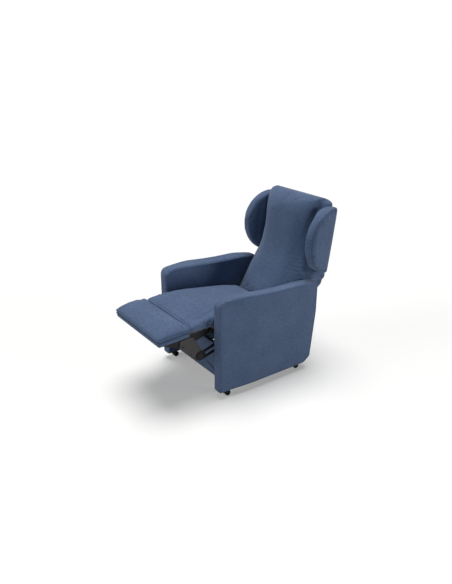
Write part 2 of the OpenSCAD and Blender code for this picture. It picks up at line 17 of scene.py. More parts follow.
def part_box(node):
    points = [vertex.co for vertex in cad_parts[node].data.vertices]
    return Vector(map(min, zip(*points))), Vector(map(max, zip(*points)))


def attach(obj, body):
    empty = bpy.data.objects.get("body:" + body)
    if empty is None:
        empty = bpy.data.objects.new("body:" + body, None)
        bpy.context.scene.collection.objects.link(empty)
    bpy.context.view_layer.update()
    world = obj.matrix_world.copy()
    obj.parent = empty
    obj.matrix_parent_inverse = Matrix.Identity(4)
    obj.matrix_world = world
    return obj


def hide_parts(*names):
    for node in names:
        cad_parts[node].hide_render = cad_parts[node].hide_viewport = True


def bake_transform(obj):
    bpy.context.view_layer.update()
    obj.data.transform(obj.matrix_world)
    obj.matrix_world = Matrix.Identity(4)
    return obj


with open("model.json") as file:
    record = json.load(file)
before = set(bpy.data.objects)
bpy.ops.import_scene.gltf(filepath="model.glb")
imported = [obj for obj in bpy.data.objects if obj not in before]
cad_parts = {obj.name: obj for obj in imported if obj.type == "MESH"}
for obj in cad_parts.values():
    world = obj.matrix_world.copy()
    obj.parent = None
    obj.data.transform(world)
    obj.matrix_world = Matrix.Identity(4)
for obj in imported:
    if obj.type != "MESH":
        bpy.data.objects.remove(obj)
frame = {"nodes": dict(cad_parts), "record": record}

logging.basicConfig(level=logging.INFO, format="%(name)s: %(message)s")
LOG = logging.getLogger("recliner")
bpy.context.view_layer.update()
Colour = tuple[float, float, float]
Entry = Any
Profile = Sequence[tuple[float, float]]


# ---------------------------------------------------------------- shader graphs


class Value:
    """One shader value: Python arithmetic on it adds Math nodes."""

    def __init__(self, graph: "Graph", socket: bpy.types.NodeSocket) -> None:
        """Wraps a socket.

        Args:
            graph: The graph that holds the socket's node.
            socket: The output socket.
        """
        self.graph = graph
        self.socket = socket

    def maths(self, operation: str, *entries: Entry) -> "Value":
        """Adds one Math node.

        Args:
            operation: The Math node's operation.
            entries: Values or numbers for its inputs, in order.

        Returns:
            The node's result.
        """
        return self.graph.node("ShaderNodeMath", {"operation": operation}, dict(enumerate(entries)))

    def __add__(self, other: Entry) -> "Value":
        """Sum."""
        return self.maths("ADD", self, other)

    def __sub__(self, other: Entry) -> "Value":
        """Difference."""
        return self.maths("SUBTRACT", self, other)

    def __rsub__(self, other: Entry) -> "Value":
        """Difference from a number."""
        return self.maths("SUBTRACT", other, self)

    def __mul__(self, other: Entry) -> "Value":
        """Product."""
        return self.maths("MULTIPLY", self, other)

    __radd__ = __add__
    __rmul__ = __mul__

    def sine(self) -> "Value":
        """Sine of the value in radians."""
        return self.maths("SINE", self)

    def held(self, low: float, high: float) -> "Value":
        """The value kept between two numbers."""
        return self.maths("MINIMUM", self.maths("MAXIMUM", self, low), high)


class Graph:
    """The node tree of one material or of the world."""

    def __init__(self, owner: bpy.types.Material | bpy.types.World) -> None:
        """Empties the owner's node tree.

        Args:
            owner: The material or world that holds the tree.
        """
        owner.use_nodes = True
        self.owner = owner
        self.tree = owner.node_tree
        self.tree.nodes.clear()

    def node(
        self,
        kind: str,
        settings: dict[str, Any] | None = None,
        inputs: dict[int | str, Entry] | None = None,
        output: int | str = 0,
    ) -> Value | None:
        """Adds a node, sets it up, then fills its sockets.

        Args:
            kind: The node's type.
            settings: Its settings; "stops" holds a ramp's (place, colour) pairs.
            inputs: Values to link or constants to set, by socket.
            output: The output to hand back.

        Returns:
            The chosen output, or None where the node has none.
        """
        made = self.tree.nodes.new(kind)
        for key, setting in (settings or {}).items():
            if key == "stops":
                ramp = made.color_ramp.elements
                while len(ramp) < len(setting):
                    ramp.new(1.0)
                for element, (place, colour) in zip(ramp, setting):
                    element.position = place
                    element.color = (*colour, 1.0)
            else:
                setattr(made, key, setting)
        for key, entry in (inputs or {}).items():
            if isinstance(entry, Value):
                self.tree.links.new(entry.socket, made.inputs[key])
            else:
                made.inputs[key].default_value = entry
        return Value(self, made.outputs[output]) if made.outputs else None

    def outputs(self, value: Value, keys: Sequence[int | str]) -> list[Value]:
        """Several outputs of the node that a value comes from."""
        return [Value(self, value.socket.node.outputs[key]) for key in keys]

    def mix(self, factor: Entry, first: Entry, second: Entry) -> Value:
        """Mixes two colours by a factor."""
        a, b = ((*c, 1.0) if isinstance(c, tuple) else c for c in (first, second))
        return self.node("ShaderNodeMix", {"data_type": "RGBA"}, {0: factor, 6: a, 7: b}, 2)

    def place(self, output: str = "Object") -> Value:
        """Coordinates that stay with the piece."""
        return self.node("ShaderNodeTexCoord", output=output)

    def axes(self, vector: Value) -> list[Value]:
        """Splits a vector into its three values."""
        return self.outputs(self.node("ShaderNodeSeparateXYZ", inputs={0: vector}), range(3))

    def stretched(self, vector: Value, scale: Sequence[float]) -> Value:
        """Coordinates scaled along each axis."""
        return self.node("ShaderNodeVectorMath", {"operation": "MULTIPLY"}, {0: vector, 1: tuple(scale)})

    def noise(self, vector: Value, scale: float, detail: float = 2.0, rough: float = 0.5) -> Value:
        """Soft noise from 0 to 1."""
        sockets = {"Vector": vector, "Scale": scale, "Detail": detail, "Roughness": rough}
        return self.node("ShaderNodeTexNoise", inputs=sockets)

    def bump(self, height: Value, strength: float, distance: float) -> Value:
        """A normal from a height."""
        sockets = {"Strength": strength, "Distance": distance, "Height": height}
        return self.node("ShaderNodeBump", inputs=sockets, output="Normal")

    def surface(self, **inputs: Entry) -> bpy.types.Material:
        """Closes the material with a Principled shader.

        Args:
            inputs: The shader's sockets, with underscores for spaces.

        Returns:
            The finished material.
        """
        sockets = {key.replace("_", " "): entry for key, entry in inputs.items()}
        shader = self.node("ShaderNodeBsdfPrincipled", inputs=sockets, output="BSDF")
        self.node("ShaderNodeOutputMaterial", inputs={"Surface": shader})
        return self.owner


# ---------------------------------------------------------------- finishes


@dataclass(frozen=True)
class WovenFabric:
    """Woven upholstery cloth: a fine diamond rib in two yarn shades, with slubs and a soft nap."""

    name: str
    base: Colour = (0.088, 0.138, 0.245)
    yarn: Colour = (0.155, 0.222, 0.355)
    shade: Colour = (0.028, 0.056, 0.126)
    rib: float = 0.0068
    thread: float = 0.0019
    relief: float = 0.0008
    nap: float = 0.2
    nap_tint: Colour = (0.72, 0.76, 0.84)

    def weave(self, graph: Graph, pitch: float) -> Value:
        """A diamond weave laid on three planes, from -1 to 1.

        Args:
            graph: The material's graph.
            pitch: The distance between two ribs.

        Returns:
            The weave's height.
        """
        x, y, z = (axis * (math.tau / pitch) for axis in graph.axes(graph.place()))
        nx, ny, nz = graph.axes(graph.place("Normal"))
        side = ((y + z).sine() * (y - z).sine()) * (nx * nx)
        front = ((x + z).sine() * (x - z).sine()) * (ny * ny)
        top = ((x + y).sine() * (x - y).sine()) * (nz * nz)
        return side + front + top

    def build(self) -> bpy.types.Material:
        """Makes the cloth.

        Returns:
            The cloth's material.
        """
        graph = Graph(bpy.data.materials.new(self.name))
        place = graph.place()
        rib = self.weave(graph, self.rib * 2)
        thread = self.weave(graph, self.thread * 2)
        slub = graph.noise(graph.stretched(place, (0.55, 0.55, 2.2)), 120.0, 4.0, 0.72)
        fade = graph.noise(place, 6.0, 4.0, 0.6)
        tone = 0.42 + rib * 0.42 + thread * 0.16 + (slub - 0.5) * 1.9 + (fade - 0.5) * 0.7
        cloth = graph.mix(tone.held(0.0, 1.0), self.shade, self.yarn)
        lift = rib * 0.7 + thread * 0.35 + slub * 1.3
        return graph.surface(
            Base_Color=graph.mix(0.4, cloth, self.base),
            Roughness=0.84 + (slub - 0.5) * 0.2,
            Specular_IOR_Level=0.2,
            Sheen_Weight=self.nap,
            Sheen_Roughness=0.5,
            Sheen_Tint=(*self.nap_tint, 1.0),
            Normal=graph.bump(lift, 0.8, self.relief),
        )


@dataclass(frozen=True)
class Strap:
    """Elastic seat webbing with lengthwise ribs."""

    name: str = "webbing_weave"
    base: Colour = (0.03, 0.03, 0.033)
    line: Colour = (0.2, 0.19, 0.17)
    ribs: float = 1400.0

    def build(self) -> bpy.types.Material:
        """Makes dark ribs with a pale tracer thread.

        Returns:
            The webbing's material.
        """
        graph = Graph(bpy.data.materials.new(self.name))
        place = graph.place()
        x, y, _ = graph.axes(place)
        ribs = (x * self.ribs).sine() * (y * self.ribs).sine()
        tracer = graph.noise(graph.stretched(place, (90.0, 2.0, 90.0)), 3.0)
        return graph.surface(
            Base_Color=graph.mix((tracer * 1.8 - 0.9).held(0.0, 0.6), self.base, self.line),
            Roughness=0.8 + ribs * 0.08,
            Normal=graph.bump(ribs, 0.5, 0.0005),
        )


@dataclass(frozen=True)
class Timber:
    """Sawn beech and plywood with grain along one axis."""

    name: str
    grain: tuple[float, float, float] = (1.4, 22.0, 22.0)
    pale: Colour = (0.2, 0.13, 0.08)
    dark: Colour = (0.1, 0.06, 0.035)

    def build(self) -> bpy.types.Material:
        """Makes long grain with fine pores.

        Returns:
            The timber's material.
        """
        graph = Graph(bpy.data.materials.new(self.name))
        place = graph.place()
        long = graph.stretched(place, self.grain)
        rings = graph.noise(long, 2.4, 5.0, 0.62)
        pores = graph.noise(graph.stretched(long, (1.0, 9.0, 9.0)), 6.0, 2.0)
        tone = (rings * 1.7 - 0.4 + (pores - 0.5) * 0.5).held(0.0, 1.0)
        return graph.surface(
            Base_Color=graph.mix(tone, self.dark, self.pale),
            Roughness=0.58 + (pores - 0.5) * 0.3,
            Normal=graph.bump(pores + rings * 0.4, 0.4, 0.0006),
        )


class Coat(Enum):
    """Kinds of hard finish, as (metallic, roughness, bump distance, speckle)."""

    POWDER = (0.0, 0.48, 0.0003, 0.25)
    ZINC = (1.0, 0.34, 0.0001, 0.35)
    MOULDED = (0.0, 0.42, 0.0002, 0.15)
    TREAD = (0.0, 0.3, 0.0001, 0.1)


@dataclass(frozen=True)
class Hard:
    """Powder coat, zinc plate or moulded plastic."""

    name: str
    coat: Coat
    base: Colour
    worn: Colour
    gloss: float = 0.22

    def build(self) -> bpy.types.Material:
        """Makes a fine orange-peel skin with handling wear.

        Returns:
            The finish's material.
        """
        metallic, rough, relief, speckle = self.coat.value
        graph = Graph(bpy.data.materials.new(self.name))
        place = graph.place()
        grit = graph.noise(place, 900.0, 2.0)
        scuff = graph.noise(place, 38.0, 5.0, 0.7)
        wear = (scuff * 3.0 - 1.75).held(0.0, 1.0) * speckle + (grit - 0.5) * 0.12 * speckle
        return graph.surface(
            Base_Color=graph.mix(wear.held(0.0, 1.0), self.base, self.worn),
            Metallic=metallic,
            Specular_IOR_Level=self.gloss,
            Roughness=(rough + (scuff - 0.5) * 0.3 + (grit - 0.5) * 0.08).held(0.05, 1.0),
            Normal=graph.bump(grit, 0.5, relief),
        )


class Finishes:
    """Every finish of the chair, built once."""

    def __init__(self) -> None:
        """Builds the materials."""
        self.fabric = WovenFabric("blue_upholstery").build()
        self.piping = WovenFabric("blue_piping", rib=0.0024).build()
        webbing = Strap().build()
        rails = Timber("beech_rails").build()
        posts = Timber("beech_posts", grain=(22.0, 22.0, 1.4)).build()
        boards = Timber("stained_boards", pale=(0.06, 0.044, 0.036), dark=(0.026, 0.02, 0.018)).build()
        sides = Timber("plywood_sides", grain=(22.0, 1.4, 22.0), pale=(0.24, 0.17, 0.11)).build()
        powder, zinc = Coat.POWDER, Coat.ZINC
        frame_steel = Hard("black_frame_steel", powder, (0.03, 0.03, 0.033), (0.1, 0.1, 0.1)).build()
        black_steel = Hard("black_rocker_steel", powder, (0.01, 0.01, 0.012), (0.07, 0.07, 0.07)).build()
        links = Hard("grey_brown_link_paint", powder, (0.062, 0.057, 0.058), (0.12, 0.115, 0.115)).build()
        bright = Hard("zinc_fasteners", zinc, (0.36, 0.36, 0.37), (0.2, 0.2, 0.2)).build()
        dark = Hard("blackened_fasteners", zinc, (0.05, 0.05, 0.055), (0.16, 0.16, 0.16)).build()
        hood = Hard("castor_hood_plastic", Coat.MOULDED, (0.011, 0.013, 0.018), (0.04, 0.04, 0.045)).build()
        tread = Hard("castor_tread_plastic", Coat.TREAD, (0.009, 0.01, 0.013), (0.035, 0.035, 0.04)).build()
        self.by_slot = {
            "timber": rails,
            "webbing": webbing,
            "frame_steel": frame_steel,
            "black_steel": black_steel,
            "link_paint": links,
            "fastener_steel": bright,
            "castor_hood": hood,
            "castor_wheel": tread,
        }
        self.by_start = {
            ("back_post",): posts,
            ("arm_frame", "wing_boards"): sides,
            ("bridge_board", "footrest_board", "seat_side", "seat_cross", "packing_strips"): boards,
            ("link_bolts", "pivot_pins", "link_pins", "footrest_bolts", "mechanism_bolts"): dark,
        }

    def of_node(self, name: str, slot: str) -> bpy.types.Material:
        """Picks the finish of one CAD node.

        Args:
            name: The node's name.
            slot: Its material slot in the record.

        Returns:
            The finish, which is the fabric where neither says otherwise.
        """
        for starts, finish in self.by_start.items():
            if name.startswith(starts):
                return finish
        return self.by_slot.get(slot, self.fabric)

    def dress_cad(self) -> None:
        """Gives each CAD node its finish, also where upholstery hides it."""
        for part in frame["record"]["subparts"]:
            node = frame["nodes"][part["node"]]
            finish = self.of_node(part["node"], part["material_slot"])
            if not node.material_slots:
                node.data.materials.append(finish)
            for holder in node.material_slots:
                holder.material = finish
            LOG.info("%s: %s", part["node"], finish.name)


# ---------------------------------------------------------------- mesh tools


def new_piece(name: str, points: np.ndarray, faces: Sequence[Sequence[int]]) -> bpy.types.Object:
    """Makes a smooth-shaded mesh piece.

    Args:
        name: The piece's name.
        points: Its points in metres, one row each.
        faces: Its faces as rows of point numbers.

    Returns:
        The new object, linked to the scene.
    """
    mesh = bpy.data.meshes.new(name)
    mesh.from_pydata([tuple(map(float, p)) for p in points], [], [tuple(f) for f in faces])
    mesh.validate()
    mesh.update()
    mesh.shade_smooth()
    piece = bpy.data.objects.new(name, mesh)
    bpy.context.scene.collection.objects.link(piece)
    return piece


def loft(name: str, rings: Sequence[np.ndarray]) -> bpy.types.Object:
    """Joins closed rings of equal size into one closed form.

    Args:
        name: The piece's name.
        rings: The rings in order, each with the same number of points.

    Returns:
        The closed piece.
    """
    count = len(rings[0])
    points = np.vstack([*rings, rings[0].mean(0), rings[-1].mean(0)])
    first, last = len(points) - 2, len(points) - 1
    faces: list[tuple[int, ...]] = []
    for r in range(len(rings) - 1):
        a, b = r * count, (r + 1) * count
        faces += [(a + i, a + (i + 1) % count, b + (i + 1) % count, b + i) for i in range(count)]
    end = (len(rings) - 1) * count
    faces += [((i + 1) % count, i, first) for i in range(count)]
    faces += [(end + i, end + (i + 1) % count, last) for i in range(count)]
    piece = new_piece(name, points, faces)
    outward(piece)
    return piece


def outward(piece: bpy.types.Object) -> None:
    """Turns a closed piece's faces outwards.

    Args:
        piece: The piece, whose faces are flipped where its volume is negative.
    """
    mesh = piece.data
    points = coordinates(piece)
    volume = 0.0
    for face in mesh.polygons:
        ring = points[list(face.vertices)]
        for i in range(1, len(ring) - 1):
            volume += float(np.dot(ring[0], np.cross(ring[i], ring[i + 1])))
    if volume < 0:
        mesh.flip_normals()


def vectors(items: bpy.types.bpy_prop_collection, key: str) -> np.ndarray:
    """Reads one vector from each item of a mesh.

    Args:
        items: The mesh's points or point normals.
        key: The name of the vector.

    Returns:
        The vectors, one row each.
    """
    flat = np.zeros(len(items) * 3)
    items.foreach_get(key, flat)
    return flat.reshape(-1, 3)


def coordinates(piece: bpy.types.Object) -> np.ndarray:
    """The piece's points as an array."""
    return vectors(piece.data.vertices, "co")


def normals(piece: bpy.types.Object) -> np.ndarray:
    """The piece's point normals as an array."""
    return vectors(piece.data.vertex_normals, "vector")


def move_to(piece: bpy.types.Object, points: np.ndarray) -> None:
    """Puts the piece's points where an array says."""
    piece.data.vertices.foreach_set("co", points.ravel())
    piece.data.update()


def baked(piece: bpy.types.Object) -> None:
    """Replaces the piece's mesh by what its modifiers make of it.

    Args:
        piece: The piece, which keeps its name and loses its modifiers.
    """
    depsgraph = bpy.context.evaluated_depsgraph_get()
    depsgraph.update()
    mesh = bpy.data.meshes.new_from_object(piece.evaluated_get(depsgraph))
    piece.modifiers.clear()
    old = piece.data
    piece.data = mesh
    mesh.name = piece.name
    bpy.data.meshes.remove(old)
    mesh.shade_smooth()


def subdivided(piece: bpy.types.Object) -> None:
    """Subdivides the piece smoothly, once.

    Args:
        piece: The piece, which is changed.
    """
    modifier = piece.modifiers.new("fine", "SUBSURF")
    modifier.levels = 1
    modifier.render_levels = 1
    baked(piece)


def eases(piece: bpy.types.Object, rounds: int) -> None:
    """Adds a modifier that evens out the piece's points.

    Args:
        piece: The piece.
        rounds: How often each point moves towards its neighbours.
    """
    modifier = piece.modifiers.new("ease", "SMOOTH")
    modifier.factor = 0.5
    modifier.iterations = rounds


@dataclass(frozen=True)
class Stuffing:
    """How a closed form is remeshed and swollen by cloth pressure."""

    voxel: float = 0.006
    pressure: float = 4.0
    cap: float = 0.024
    frames: int = 16
    evening: int = 6
    quick_voxel: float = 1.6

    def fill(self, piece: bpy.types.Object, held: Callable[[np.ndarray], np.ndarray]) -> None:
        """Remeshes the piece and swells it like a filled cushion.

        Args:
            piece: The closed form, which is changed.
            held: Tells which points are sewn or rest on the frame.
        """
        remesh = piece.modifiers.new("even", "REMESH")
        remesh.mode = "VOXEL"
        remesh.voxel_size = self.voxel * 1.0
        eases(piece, self.evening)
        baked(piece)
        self.swell(piece, held(coordinates(piece)))

    def swell(self, piece: bpy.types.Object, pinned: np.ndarray) -> None:
        """Runs the cloth and keeps its result, capped.

        Args:
            piece: The remeshed form, which is changed.
            pinned: Whether each point stays where it is.
        """
        rest = coordinates(piece)
        pins = piece.vertex_groups.new(name="held")
        pins.add([int(i) for i in np.flatnonzero(pinned)], 1.0, "REPLACE")
        cloth = piece.modifiers.new("cloth", "CLOTH")
        settings = {
            "quality": 5,
            "mass": 0.3,
            "tension_stiffness": 18,
            "compression_stiffness": 18,
            "shear_stiffness": 6,
            "bending_stiffness": 0.6,
            "use_pressure": True,
            "uniform_pressure_force": self.pressure,
            "vertex_group_mass": "held",
        }
        for key, setting in settings.items():
            setattr(cloth.settings, key, setting)
        cloth.settings.effector_weights.gravity = 0
        cloth.point_cache.frame_start = 1
        cloth.point_cache.frame_end = self.frames
        scene = bpy.context.scene
        for step in range(1, self.frames + 1):
            scene.frame_set(step)
        shaped = piece.evaluated_get(bpy.context.evaluated_depsgraph_get())
        move = vectors(shaped.data.vertices, "co") - rest
        size = np.linalg.norm(move, axis=1, keepdims=True)
        move *= np.minimum(1.0, self.cap / np.maximum(size, 1e-9))
        piece.modifiers.clear()
        piece.vertex_groups.clear()
        move_to(piece, rest + move)
        scene.frame_set(1)
        LOG.info("%s swelled by %.1f mm at most", piece.name, float(size.max()) * 1000)


def softened(piece: bpy.types.Object, rounds: int) -> None:
    """Rounds off a piece's ridges by evening its points."""
    eases(piece, rounds)
    baked(piece)


def settled(piece: bpy.types.Object, path: np.ndarray, lift: float) -> np.ndarray:
    """Lays a path on a piece's surface.

    Args:
        piece: The piece to lie on.
        path: Points near its surface.
        lift: How far above the surface the path lies.

    Returns:
        The settled points.
    """
    mesh = piece.data
    tree = BVHTree.FromPolygons([v.co for v in mesh.vertices], [tuple(f.vertices) for f in mesh.polygons])
    laid = []
    for point in path:
        where, normal, _, _ = tree.find_nearest(Vector(point))
        laid.append(np.array(where + normal * lift))
    return np.array(laid)


def sewn(piece: bpy.types.Object, path: np.ndarray, depth: float, width: float) -> None:
    """Presses a sewn channel into a piece.

    Args:
        piece: The piece, which is changed.
        path: The seam's points, close together.
        depth: The channel's depth.
        width: Its half width.
    """
    tree = KDTree(len(path))
    for i, point in enumerate(path):
        tree.insert(Vector(point), i)
    tree.balance()
    points, ways = coordinates(piece), normals(piece)
    low, high = path.min(0) - width, path.max(0) + width
    near = np.flatnonzero(np.all((points > low) & (points < high), axis=1))
    for i in near:
        distance = tree.find(Vector(points[i]))[2]
        if distance < width:
            points[i] -= ways[i] * depth * (1 - distance / width) ** 1.5
    move_to(piece, points)


def rolled(path: np.ndarray, step: float = 0.004, closed: bool = False) -> np.ndarray:
    """Resamples a path at even steps.

    Args:
        path: The path's points.
        step: The distance between new points.
        closed: Whether the path returns to its start.

    Returns:
        The new points.
    """
    run = np.vstack([path, path[:1]]) if closed else path
    lengths = np.concatenate([[0.0], np.cumsum(np.linalg.norm(np.diff(run, axis=0), axis=1))])
    count = max(4, int(lengths[-1] / step))
    places = np.linspace(0, lengths[-1], count, endpoint=not closed)
    return np.column_stack([np.interp(places, lengths, run[:, k]) for k in range(run.shape[1])])


def welt(name: str, path: np.ndarray, radius: float, closed: bool = False) -> bpy.types.Object:
    """Makes a round piping cord along a path.

    Args:
        name: The piece's name.
        path: The cord's centreline.
        radius: The cord's radius.
        closed: Whether the cord is a loop.

    Returns:
        The cord.
    """
    sides = 8
    along = np.roll(path, -1, axis=0) - np.roll(path, 1, axis=0) if closed else np.gradient(path, axis=0)
    along /= np.maximum(np.linalg.norm(along, axis=1, keepdims=True), 1e-9)
    askew = (0.31, 0.52, 0.79)
    side = np.cross(along[0], askew)
    rings = []
    for point, way in zip(path, along):
        side = side - way * np.dot(side, way)
        side /= np.linalg.norm(side)
        up = np.cross(way, side)
        angles = np.arange(sides) * math.tau / sides
        rings.append(point + radius * (np.outer(np.cos(angles), side) + np.outer(np.sin(angles), up)))
    if not closed:
        return loft(name, rings)
    faces = []
    for r in range(len(rings)):
        a, b = r * sides, (r + 1) % len(rings) * sides
        faces += [(a + i, a + (i + 1) % sides, b + (i + 1) % sides, b + i) for i in range(sides)]
    piece = new_piece(name, np.vstack(rings), faces)
    outward(piece)
    return piece


def reflect(piece: bpy.types.Object) -> None:
    """Turns a piece into its opposite hand across X."""
    move_to(piece, coordinates(piece) * (-1, 1, 1))
    piece.data.flip_normals()


def mirrored(piece: bpy.types.Object, name: str) -> bpy.types.Object:
    """Makes the opposite hand of a piece across X.

    Args:
        piece: The piece to copy.
        name: The copy's name.

    Returns:
        The mirrored copy.
    """
    twin = bpy.data.objects.new(name, piece.data.copy())
    bpy.context.scene.collection.objects.link(twin)
    reflect(twin)
    return twin


def eased(t: np.ndarray | float) -> np.ndarray | float:
    """A smooth step from 0 to 1."""
    t = np.clip(t, 0.0, 1.0)
    return t * t * (3 - 2 * t)


def hump(values: np.ndarray, centre: float, width: float) -> np.ndarray:
    """A smooth hump of height 1 about a centre."""
    return np.exp(-(((values - centre) / width) ** 2))


def raised(values: np.ndarray, power: np.ndarray | float) -> np.ndarray:
    """The values raised to a power, with their signs kept."""
    return np.sign(values) * np.abs(values) ** power


def squircle(count: int, power: float) -> np.ndarray:
    """Points of a unit superellipse, counter-clockwise from +X."""
    angles = np.arange(count) * math.tau / count
    return np.column_stack([raised(np.cos(angles), 2 / power), raised(np.sin(angles), 2 / power)])


def read(profile: Profile, at: np.ndarray | float) -> np.ndarray | float:
    """Reads a profile of (place, value) pairs at one place or many."""
    places, values = zip(*profile)
    return np.interp(at, places, values)


def drawn_in(outline: np.ndarray, distance: float) -> np.ndarray:
    """Moves a closed outline inwards.

    Args:
        outline: The outline's points.
        distance: How far each point moves.

    Returns:
        The new outline.
    """
    ahead = np.roll(outline, -1, axis=0) - np.roll(outline, 1, axis=0)
    ahead /= np.linalg.norm(ahead, axis=1, keepdims=True)
    inward = np.column_stack([ahead[:, 1], -ahead[:, 0]])
    if np.mean(np.sum(inward * (outline.mean(0) - outline), axis=1)) < 0:
        inward = -inward
    return outline + inward * distance


def finish_piece(piece: bpy.types.Object, body: str, material: bpy.types.Material) -> None:
    """Gives a piece its finish, slot and body.

    Args:
        piece: The piece.
        body: The CAD body that carries it.
        material: Its finish.
    """
    piece.data.materials.clear()
    piece.data.materials.append(material)
    if body:
        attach(piece, body)
    LOG.info("%s: %d faces", piece.name, len(piece.data.polygons))


# ---------------------------------------------------------------- sub-assemblies


@dataclass
class Arms:
    """The two padded arms, boxed with a strip between plain seams."""

    finishes: Finishes
    front_radius: float = 0.04
    front_drop: float = 0.002
    rear_radius: float = 0.018
    rear_drop: float = 0.0485
    bend: float = 0.412
    heel_step: float = 0.036
    heel_run: float = 0.053
    heel_z: float = 0.083
    edge: float = 0.013
    inner_edge: float = 0.017
    seam_depths: tuple[float, float, float] = (0.0012, 0.0032, 0.0006)
    seam_half: float = 0.003
    puff: float = 0.0035
    bow: float = 0.017
    arches: tuple[float, float] = (0.014, 0.018)
    rises: tuple[float, float] = (0.0, 0.0085)
    nose_drop: float = 0.012
    crest: Profile = (
        (0.05, -0.0018),
        (0.1, -0.0037),
        (0.187, -0.0105),
        (0.28, -0.02),
        (0.374, -0.0285),
        (0.47, -0.0345),
        (0.572, -0.037),
        (0.66, -0.0375),
        (0.72, -0.0405),
    )

    def __post_init__(self) -> None:
        """Takes the arm's box from the CAD cover."""
        self.low, self.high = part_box("arm_cover_left")
        self.half = (self.high.x - self.low.x) / 2

    def outline(self) -> np.ndarray:
        """Draws the arm's side, from the front foot up, over and down the rear.

        Returns:
            The closed outline as Y and Z.
        """
        front, rear, foot, top = self.low.y, self.high.y, self.low.z, self.high.z
        smooth = np.polyfit(*zip(*self.crest), 4)
        run = [(front, foot)]
        r, peak = self.front_radius, top - self.front_drop
        turns = np.linspace(0.05, 1.45, 8)
        run += [(front + r - r * math.cos(a), peak - r + r * math.sin(a)) for a in turns]
        run += [(front + y, top + np.polyval(smooth, y)) for y in np.linspace(0.055, 0.72, 30)]
        r, peak = self.rear_radius, top - self.rear_drop
        turns = np.linspace(0.1, 1.57, 7)
        run += [(rear - r + r * math.sin(a), peak - r + r * math.cos(a)) for a in turns]
        heel = rear - self.heel_step
        run += [(rear, self.bend), (heel, self.heel_z), (heel - self.heel_run, foot)]
        return rolled(np.array(run), 0.011, closed=True)

    def stuffed(self, ring: np.ndarray, arch_height: float, rise: float) -> np.ndarray:
        """Bows a ring outwards and arches its top.

        Args:
            ring: The ring's points.
            arch_height: How far the top arches.
            rise: How much taller the whole top is stuffed.

        Returns:
            The ring as the stuffing shapes it.
        """
        outer = (ring[:, 0] - self.low.x) / (self.high.x - self.low.x)
        along = ring[:, 1] - self.low.y
        height = ring[:, 2]
        share = 0.3 + 0.7 * outer
        bow = eased(along / 0.28) * (1 - 0.15 * eased((along - 0.55) / 0.25))
        arch = eased(along / 0.24) * (1 - eased((along - 0.58) / 0.17)) * eased((height - 0.46) / 0.15)
        nose = (1 - outer) * (1 - eased(along / 0.07)) * eased((height - 0.5) / 0.1)
        moved = ring.copy()
        moved[:, 0] += self.bow * bow * share
        moved[:, 2] += arch_height * arch * share + rise * eased((height - 0.4) / 0.2)
        moved[:, 2] -= self.nose_drop * nose
        return moved

    def face(self, outline: np.ndarray, edge: float) -> list[tuple[float, np.ndarray]]:
        """Draws the rings from the middle of one face to the middle of the arm.

        Args:
            outline: The arm's side outline.
            edge: The radius of the face's sewn edge.

        Returns:
            Each ring's distance from the arm's middle and its points.
        """
        half, centre, sewn_in = self.half, outline.mean(0), drawn_in(outline, edge)
        run = []
        for share in (0.12, 0.3, 0.5, 0.68, 0.82, 0.92, 0.975):
            swell = self.puff * (1 - share**3)
            run.append((half - self.seam_depths[0] + swell, centre + (sewn_in - centre) * share))
        for depth, inset in zip(self.seam_depths, (edge + self.seam_half, edge, edge - self.seam_half)):
            run.append((half - depth, drawn_in(outline, inset)))
        for turn in np.linspace(0.32, 1.5, 7):
            ring = drawn_in(outline, edge * (1 - math.sin(turn)))
            run.append((half - edge + edge * math.cos(turn), ring))
        run.append((half * 0.3, drawn_in(outline, -0.001)))
        return run

    def build(self) -> None:
        """Builds both arms as lofts across X with sewn edges."""
        outline = self.outline()
        middle = (self.low.x + self.high.x) / 2
        outer = self.face(outline, self.edge)
        inner = self.face(outline, self.inner_edge)
        rings = [np.column_stack([np.full(len(o), middle + x), o]) for x, o in outer]
        rings += [np.column_stack([np.full(len(o), middle - x), o]) for x, o in reversed(inner)]
        for side, arch_height, rise in zip(("left", "right"), self.arches, self.rises):
            shaped = [self.stuffed(ring, arch_height, rise) for ring in rings]
            piece = loft(f"arm_upholstery_{side}", shaped)
            if side == "right":
                reflect(piece)
            subdivided(piece)
            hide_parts(f"arm_cover_{side}")
            finish_piece(piece, "base", self.finishes.fabric)


